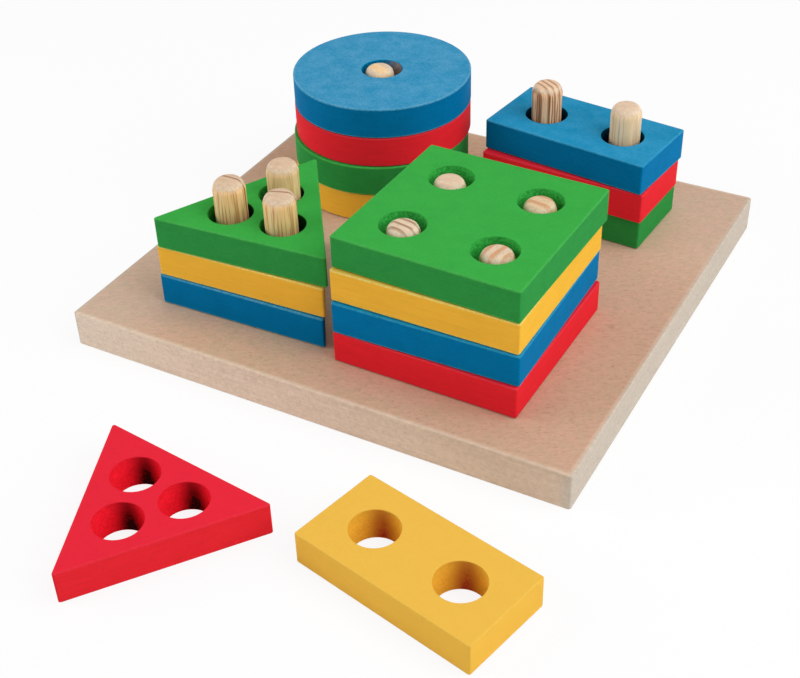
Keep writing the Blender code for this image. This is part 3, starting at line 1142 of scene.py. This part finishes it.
@dataclass
class Dowel:
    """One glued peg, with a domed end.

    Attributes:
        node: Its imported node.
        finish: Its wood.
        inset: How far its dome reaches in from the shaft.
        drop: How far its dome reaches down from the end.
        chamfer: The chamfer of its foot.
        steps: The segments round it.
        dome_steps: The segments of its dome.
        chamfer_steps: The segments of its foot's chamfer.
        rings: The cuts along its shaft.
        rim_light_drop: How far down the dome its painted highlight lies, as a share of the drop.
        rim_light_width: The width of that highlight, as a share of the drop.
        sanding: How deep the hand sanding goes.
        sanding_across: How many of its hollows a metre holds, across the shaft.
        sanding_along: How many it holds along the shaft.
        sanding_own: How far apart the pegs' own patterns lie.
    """

    node: str
    finish: PineFinish
    inset: float = 3.5 * MILLIMETRE
    drop: float = 5.0 * MILLIMETRE
    chamfer: float = 0.8 * MILLIMETRE
    steps: int = 96
    dome_steps: int = 12
    chamfer_steps: int = 2
    rings: int = 22
    rim_light_drop: float = 0.3
    rim_light_width: float = 0.25
    sanding: float = 0.04 * MILLIMETRE
    sanding_across: float = 60.0
    sanding_along: float = 45.0
    sanding_own: float = 40.0

    def build(self) -> bpy.types.Object:
        """Model and dress the peg.

        Returns:
            The piece.
        """
        low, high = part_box(self.node)
        middle = peg_middle(self.node)
        radius, length = (high.x - low.x) / 2, high.z - low.z
        form = bmesh.new()
        end = form.verts.layers.float.new("end")
        rim = form.verts.layers.float.new("rim")
        bmesh.ops.create_cone(form, cap_ends=True, segments=self.steps, radius1=radius, radius2=radius,
                              depth=length, matrix=Matrix.Translation(UP * (length / 2)))
        self._round_off(form, length, self.inset, self.dome_steps)
        dome = [v for v in form.verts if v.co.z > length / 2]
        bmesh.ops.scale(form, vec=(1.0, 1.0, self.drop / self.inset),
                        space=Matrix.Translation(-UP * length), verts=dome)
        self._round_off(form, 0.0, self.chamfer, self.chamfer_steps)
        shaft = [e for e in form.edges if abs(e.verts[0].co.z - e.verts[1].co.z) > length / 2]
        bmesh.ops.subdivide_edges(form, edges=shaft, cuts=self.rings, use_grid_fill=True)
        for face in [f for f in form.faces if len(f.verts) == self.steps]:
            bmesh.ops.inset_individual(form, faces=[face], thickness=self.chamfer, depth=0.0)
        for point in form.verts:
            self._wave(point, length, middle)
            point[end] = max(0.0, 1.0 - (length - point.co.z) / self.drop)
            # a ring of painted highlight round the dome
            above_rim = point.co.z - (length - self.drop * self.rim_light_drop)
            point[rim] = self._band(above_rim, self.drop * self.rim_light_width)
        bmesh.ops.translate(form, vec=(middle.x, middle.y, low.z), verts=form.verts)
        return piece_from(form, self.node + "_turned", "board_and_pegs",
                          self.finish.material(self.node), [self.node])

    @staticmethod
    def _round_off(form: BMesh, height: float, width: float, steps: int) -> None:
        """Round the rim of an end.

        Args:
            form: The peg's mesh.
            height: The end's height.
            width: The radius of the round.
            steps: Its segments.
        """
        edges = [e for e in form.edges if all(abs(v.co.z - height) < HAIR for v in e.verts)]
        bmesh.ops.bevel(form, geom=edges, affect="EDGES", offset=width, offset_type="OFFSET",
                        segments=steps, profile=0.5, material=-1, loop_slide=False)

    def _wave(self, point: BMVert, length: float, middle: Vector) -> None:
        """Draw a point of the shaft in by a hair, as hand sanding does.

        Args:
            point: The point.
            length: The peg's length.
            middle: The peg's axis, which gives it a pattern of its own.
        """
        out = Vector((point.co.x, point.co.y, 0.0))
        if out.length > HAIR and self.chamfer < point.co.z < length - self.drop:
            spot = Vector((point.co.x * self.sanding_across, point.co.y * self.sanding_across,
                           point.co.z * self.sanding_along))
            slow = noise.noise(spot + middle * self.sanding_own)
            point.co -= out.normalized() * (self.sanding * (1.0 + slow))

    @staticmethod
    def _band(distance: float, width: float) -> float:
        """1 on a line and 0 a width away from it, with a soft fall."""
        return math.exp(-(distance / width) ** 2)


@dataclass
class Board:
    """The base, with a blind socket for each peg.

    Attributes:
        plan: Its outline.
        edge: The profile of its edges.
        socket_gap: The room round a peg in its socket.
        socket_floor: The height of a socket's floor.
        socket_steps: The segments round a socket.
        pitch: The longest edge along a side.
    """

    plan: Plan = Plan(corners=4, first=math.radians(45), corner_radius=1.2 * MILLIMETRE, corner_steps=6)
    edge: EdgeProfile = EdgeProfile(radius=0.8 * MILLIMETRE, steps=5, border=1.6 * MILLIMETRE, rings=3)
    socket_gap: float = 0.3 * MILLIMETRE
    socket_floor: float = 5.5 * MILLIMETRE
    socket_steps: int = 64
    pitch: float = 6.0 * MILLIMETRE

    def build(self, pegs: list[str], finish: BoardFinish) -> bpy.types.Object:
        """Model and dress the board.

        Args:
            pegs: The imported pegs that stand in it.
            finish: Its finish.

        Returns:
            The piece.
        """
        low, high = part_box("board")
        reach = Vector((high.x, high.y))
        form = bmesh.new()
        edge, short = form.verts.layers.float.new("edge"), form.verts.layers.float.new("short")
        outer = draw_outline(form, self.plan, reach, self.pitch)
        bottom = outer.raise_wall(self.edge.stops(high.z - low.z), lambda stop: {edge: self._sawn(stop)})
        top = list(outer.edges)
        for peg in pegs:
            top += self._socket(form, peg, high.z)
        for loop in (bottom, top):
            bmesh.ops.triangle_fill(form, edges=loop, use_beauty=True, use_dissolve=False)
        for point in form.verts:
            point[short] = float(abs(point.co.x) > reach.x - self.plan.corner_radius)
        return piece_from(form, "board_sawn", "board_and_pegs", finish.material(), ["board"])

    def _sawn(self, stop: Stop) -> float:
        """How much of a ring shows the sawn edge: all at the wall, and less over the border."""
        return 1.0 - stop.ease / (self.edge.radius + self.edge.border)

    def _socket(self, form: BMesh, peg: str, top: float) -> list[BMEdge]:
        """Bore a blind socket down from the face.

        Args:
            form: The board's mesh.
            peg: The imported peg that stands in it.
            top: The face's height.

        Returns:
            The socket's rim, for the face to be filled round it.
        """
        low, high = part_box(peg)
        radius = (high.x - low.x) / 2 + self.socket_gap
        wall = draw_bore(form, peg_middle(peg), top, radius, self.socket_steps)
        rim = wall.edges
        wall.climb(0.0, self.socket_floor)
        bmesh.ops.contextual_create(form, geom=wall.edges)
        return rim


@dataclass(frozen=True)
class Lamp:
    """A soft square lamp that looks at the toy.

    Attributes:
        name: Its name.
        azimuth: Where it stands, from +X towards +Y, in degrees.
        elevation: How high it stands, in degrees.
        distance: How far it is from the target.
        width: The length of its sides.
        level: How bright a white surface that faces it gets, where 1 is white.
    """

    name: str
    azimuth: float
    elevation: float
    distance: float
    width: float
    level: float

    def place(self, target: Vector) -> None:
        """Hang the lamp.

        Args:
            target: The point that it looks at.
        """
        light = bpy.data.lights.new(self.name, "AREA")
        light.shape = "SQUARE"
        light.size = self.width
        light.energy = self.level * (math.pi * self.distance) ** 2
        azimuth, elevation = math.radians(self.azimuth), math.radians(self.elevation)
        out = Vector((math.cos(elevation) * math.cos(azimuth), math.cos(elevation) * math.sin(azimuth),
                      math.sin(elevation)))
        lamp = put_up(self.name, light)
        lamp.location = target + out * self.distance
        lamp.rotation_euler = out.to_track_quat("Z", "Y").to_euler()


@dataclass(frozen=True)
class Viewpoint:
    """The camera that sees the toy as the photograph does.

    Attributes:
        location: Where it stands.
        azimuth: The direction that it looks in, from +Y towards -X, in degrees.
        elevation: How far it looks down, in degrees.
        roll: How far it leans, in degrees.
        lens: Its focal length, in millimetres on a sensor 36 mm wide.
    """

    location: Vector
    azimuth: float
    elevation: float
    roll: float
    lens: float

    def place(self) -> None:
        """Set the camera up and make it the scene's."""
        azimuth, elevation, roll = (math.radians(a) for a in (self.azimuth, self.elevation, self.roll))
        back = Vector((math.sin(azimuth) * math.cos(elevation), -math.cos(azimuth) * math.cos(elevation),
                       math.sin(elevation)))
        level = Vector((math.cos(azimuth), math.sin(azimuth), 0.0))
        upright = back.cross(level)
        right = level * math.cos(roll) + upright * math.sin(roll)
        up = upright * math.cos(roll) - level * math.sin(roll)
        lens = bpy.data.cameras.new("camera")
        lens.lens = self.lens
        lens.sensor_width = SENSOR_WIDTH
        camera = put_up("camera", lens)
        facing = Matrix((right, up, back)).transposed().to_4x4()
        camera.matrix_world = Matrix.Translation(self.location) @ facing
        bpy.context.scene.camera = camera


@dataclass
class Studio:
    """A pale floor, soft lamps and an even sky.

    Attributes:
        floor_radius: The radius of the floor.
        floor_steps: The segments round it.
        floor_drop: How far the floor lies below the toy.
        floor_colour: What the floor gives back to the toy.
        mottles: How many patches of tone a metre of it holds.
        mottle: How much they differ.
        shadow: How much of the toy's shadow shows on the floor.
        shadow_near: How far from the middle the shadow still shows in full.
        shadow_far: How far from the middle the floor is plain white.
        sky: The level of the light from all round.
        target: The point that the lamps look at.
    """

    floor_radius: float = 3.0
    floor_steps: int = 96
    floor_drop: float = 0.2 * MILLIMETRE
    floor_colour: float = 0.93
    mottles: float = 3.0
    mottle: float = 0.01
    shadow: float = 0.12
    shadow_near: float = 0.5
    shadow_far: float = 1.5
    sky: float = 0.216
    target: Vector = Vector((0.0, -0.02, 0.03))

    def build(self, lamps: tuple[Lamp, ...], viewpoint: Viewpoint) -> None:
        """Set the floor, the sky, the lamps and the camera up.

        Args:
            lamps: The lamps.
            viewpoint: The camera.
        """
        self._lay_floor()
        self._paint_sky()
        for lamp in lamps:
            lamp.place(self.target)
        viewpoint.place()
        bpy.context.scene.view_settings.view_transform = "Standard"

    def _lay_floor(self) -> None:
        """Lay the floor, which looks white and still holds a soft shadow."""
        form = bmesh.new()
        bmesh.ops.create_circle(form, cap_ends=True, segments=self.floor_steps, radius=self.floor_radius,
                                matrix=Matrix.Translation(-UP * self.floor_drop))
        mesh = bpy.data.meshes.new("floor")
        form.to_mesh(mesh)
        form.free()
        bench = Bench("floor_finish")
        seen = bench.sight()
        place = bench.place()
        x, y, _ = bench.axes(place)
        near = (x * x + y * y).root().step(self.shadow_far, self.shadow_near)
        paper = bench.toned((self.floor_colour,) * 3, 1.0 + bench.grain(place, self.mottles) * self.mottle)
        matte = bench.add("ShaderNodeBsdfDiffuse", inputs={"Color": paper})
        glow = bench.add("ShaderNodeEmission", inputs={"Color": WHITE, "Strength": 1.0})
        layers = {"Fac": seen * (1.0 - near * self.shadow), "Shader": matte, "Shader_001": glow}
        bench.end("ShaderNodeOutputMaterial", bench.add("ShaderNodeMixShader", inputs=layers))
        mesh.materials.append(bench.owner)
        floor = put_up("floor", mesh)

    def _paint_sky(self) -> None:
        """Fill the world: white where it is seen, and the sky's level as light."""
        bench = Bench("sky", world=True)
        seen = bench.sight()
        strength = self.sky + seen * (1.0 - self.sky)
        light = bench.add("ShaderNodeBackground", inputs={"Color": WHITE, "Strength": strength})
        bench.end("ShaderNodeOutputWorld", light)
        bpy.context.scene.world = bench.owner


PEG_WOODS = {
    "square_peg_1": PineFinish(angle=8.0, spacing=4.6, start=0.6, width=0.40, strength=0.60, pale=PALE_END),
    "square_peg_2": PineFinish(angle=-7.0, spacing=6.0, start=-0.6, width=0.40, strength=0.95,
                               blush=0.3, pale=WARM_END, line=ORANGE_LINE),
    "square_peg_3": PineFinish(angle=-9.0, spacing=3.7, start=0.4, width=0.34, strength=0.85,
                               blush=0.4, pale=PALE_END, line=BROWN_LINE),
    "square_peg_4": PineFinish(angle=79.0, spacing=4.6, start=0.5, width=0.42, strength=0.95,
                               pale=PALE_END, line=ORANGE_LINE),
    "rectangle_peg_1": PineFinish(angle=-29.0, spacing=2.9, start=0.4, width=0.36, strength=0.80,
                                  streaks=0.95, stripes=8.0, pale=PINK_TAN, line=BROWN_LINE,
                                  gold=PINK_TAN, stripe=DARK_STRIPE),
    "rectangle_peg_2": PineFinish(angle=14.0, spacing=4.5, start=1.0, width=0.25, strength=0.25,
                                  streaks=0.65, stripes=7.0, blush=0.70, pale=CREAM, gold=SOFT_GOLD,
                                  stripe=SOFT_TAN),
    "triangle_peg_1": PineFinish(angle=1.6, spacing=15.0, start=2.7, width=0.06, strength=0.95,
                                 streaks=0.85, blush=0.8, line=BROWN_LINE),
    "triangle_peg_2": PineFinish(angle=10.0, spacing=15.0, start=7.4, width=0.05, strength=0.40,
                                 streaks=0.50, blush=0.8, line=BROWN_LINE, gold=SOFT_GOLD),
    "triangle_peg_3": PineFinish(angle=20.0, spacing=15.0, start=2.3, width=0.06, strength=0.95,
                                 streaks=0.80, blush=0.8, line=BROWN_LINE),
    "disc_peg": PineFinish(angle=-20.0, spacing=14.0, start=0.0, width=0.36, strength=0.70,
                           pale=PALE_END, line=GOLD),
}
WEARS = {
    # the blue disc's and the blue rectangle's tops get painted sheen
    (Shape.DISC, Paint.BLUE): Wear(fade=0.055, edge_wear_and_highlight=0.8, bare=1.3, shade_and_bare_side=68.0),
    # the blue rectangle, green triangle, yellow rectangle and red triangle get painted shade in their bores
    (Shape.RECTANGLE, Paint.BLUE): Wear(fade=0.022, scorch=1.8, shade_and_bare_width=150.0),
    (Shape.TRIANGLE, Paint.GREEN): Wear(scorch=2.2, shade_and_bare_side=60.0, shade_and_bare_width=110.0),
    (Shape.TRIANGLE, Paint.BLUE): Wear(edge_wear_and_highlight=0.9),
    (Shape.SQUARE, Paint.YELLOW): Wear(edge_wear_and_highlight=1.1),
    (Shape.TRIANGLE, Paint.YELLOW): Wear(edge_wear_and_highlight=1.1),
    (Shape.RECTANGLE, Paint.YELLOW): Wear(edge_wear_and_highlight=0.1, wall_colour_share=0.25, scorch=1.05, shade_and_bare_side=103.0),
    (Shape.TRIANGLE, Paint.RED): Wear(edge_wear_and_highlight=0.15, scorch=1.3, shade_and_bare_side=108.0),
}
STAINS_AND_PAINTED_SHADING = (
    # three small stains
    StainAndPaintedShading(x=0.0978, y=-0.0175, radius=1.9 * MILLIMETRE, strength=0.35),
    StainAndPaintedShading(x=0.1081, y=-0.0428, radius=1.2 * MILLIMETRE, strength=0.30),
    StainAndPaintedShading(x=0.1061, y=-0.0826, radius=1.1 * MILLIMETRE, strength=0.28),
    # wide patches of painted shade, right of the square stack and at the front right
    StainAndPaintedShading(x=0.1100, y=-0.0550, radius=95.0 * MILLIMETRE, strength=0.22),
    StainAndPaintedShading(x=0.0600, y=-0.1180, radius=90.0 * MILLIMETRE, strength=0.10),
    # wide pale patches of painted light, at the front left and the back right
    StainAndPaintedShading(x=-0.1150, y=-0.0850, radius=60.0 * MILLIMETRE, strength=0.22, colour=PAINTED_LIGHT_TINT),
    StainAndPaintedShading(x=0.1120, y=0.0850, radius=60.0 * MILLIMETRE, strength=0.15, colour=PAINTED_LIGHT_TINT),
)
FIBREBOARD = BoardFinish("board_finish", tan=(0.615, 0.430, 0.290), pink=(0.680, 0.428, 0.312),
                         fibre=SOIL_AND_SHADE, long_edge_and_painted_light=(0.800, 0.650, 0.510),
                         short_edge=(0.590, 0.525, 0.445), lie=30.0, stains_and_painted_shading=STAINS_AND_PAINTED_SHADING)
LAMPS = (
    Lamp("key", azimuth=-2.0, elevation=38.0, distance=1.3, width=1.2, level=0.70),
    Lamp("fill", azimuth=212.0, elevation=22.0, distance=1.3, width=0.9, level=0.475),
    Lamp("top", azimuth=40.0, elevation=78.0, distance=1.3, width=1.0, level=0.33),
)
CAMERA = Viewpoint(location=Vector((0.25257, -0.47496, 0.36914)), azimuth=29.592, elevation=36.769,
                   roll=-1.8634, lens=61.77)


def blocks() -> list[Block]:
    """List the sixteen blocks.

    Returns:
        The blocks.
    """
    low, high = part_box("disc_peg")
    bore = (high.x - low.x) / 2 + HOLE_PLAY
    found = []
    for shape, first, second in ((Shape.SQUARE, "square_peg_1", "square_peg_2"),
                                 (Shape.RECTANGLE, "rectangle_peg_1", "rectangle_peg_2"),
                                 (Shape.TRIANGLE, "triangle_peg_1", "triangle_peg_2"),
                                 (Shape.DISC, "disc_peg", "disc_peg")):
        spacing = (peg_middle(first) - peg_middle(second)).length
        found += [Block(shape, paint, spacing, bore, WEARS.get((shape, paint), Wear())) for paint in Paint]
    return found


def main() -> None:
    """Build the toy and its studio."""
    logging.basicConfig(level=logging.INFO, format="%(name)s: %(message)s")
    pegs = [Dowel(node, wood) for node, wood in PEG_WOODS.items()]
    Board().build([peg.node for peg in pegs], FIBREBOARD)
    for peg in pegs:
        peg.build()
    paints = {paint: paint.value.material() for paint in Paint}
    for block in blocks():
        block.build(paints)
    Studio().build(LAMPS, CAMERA)


if __name__ == "__main__":
    main()
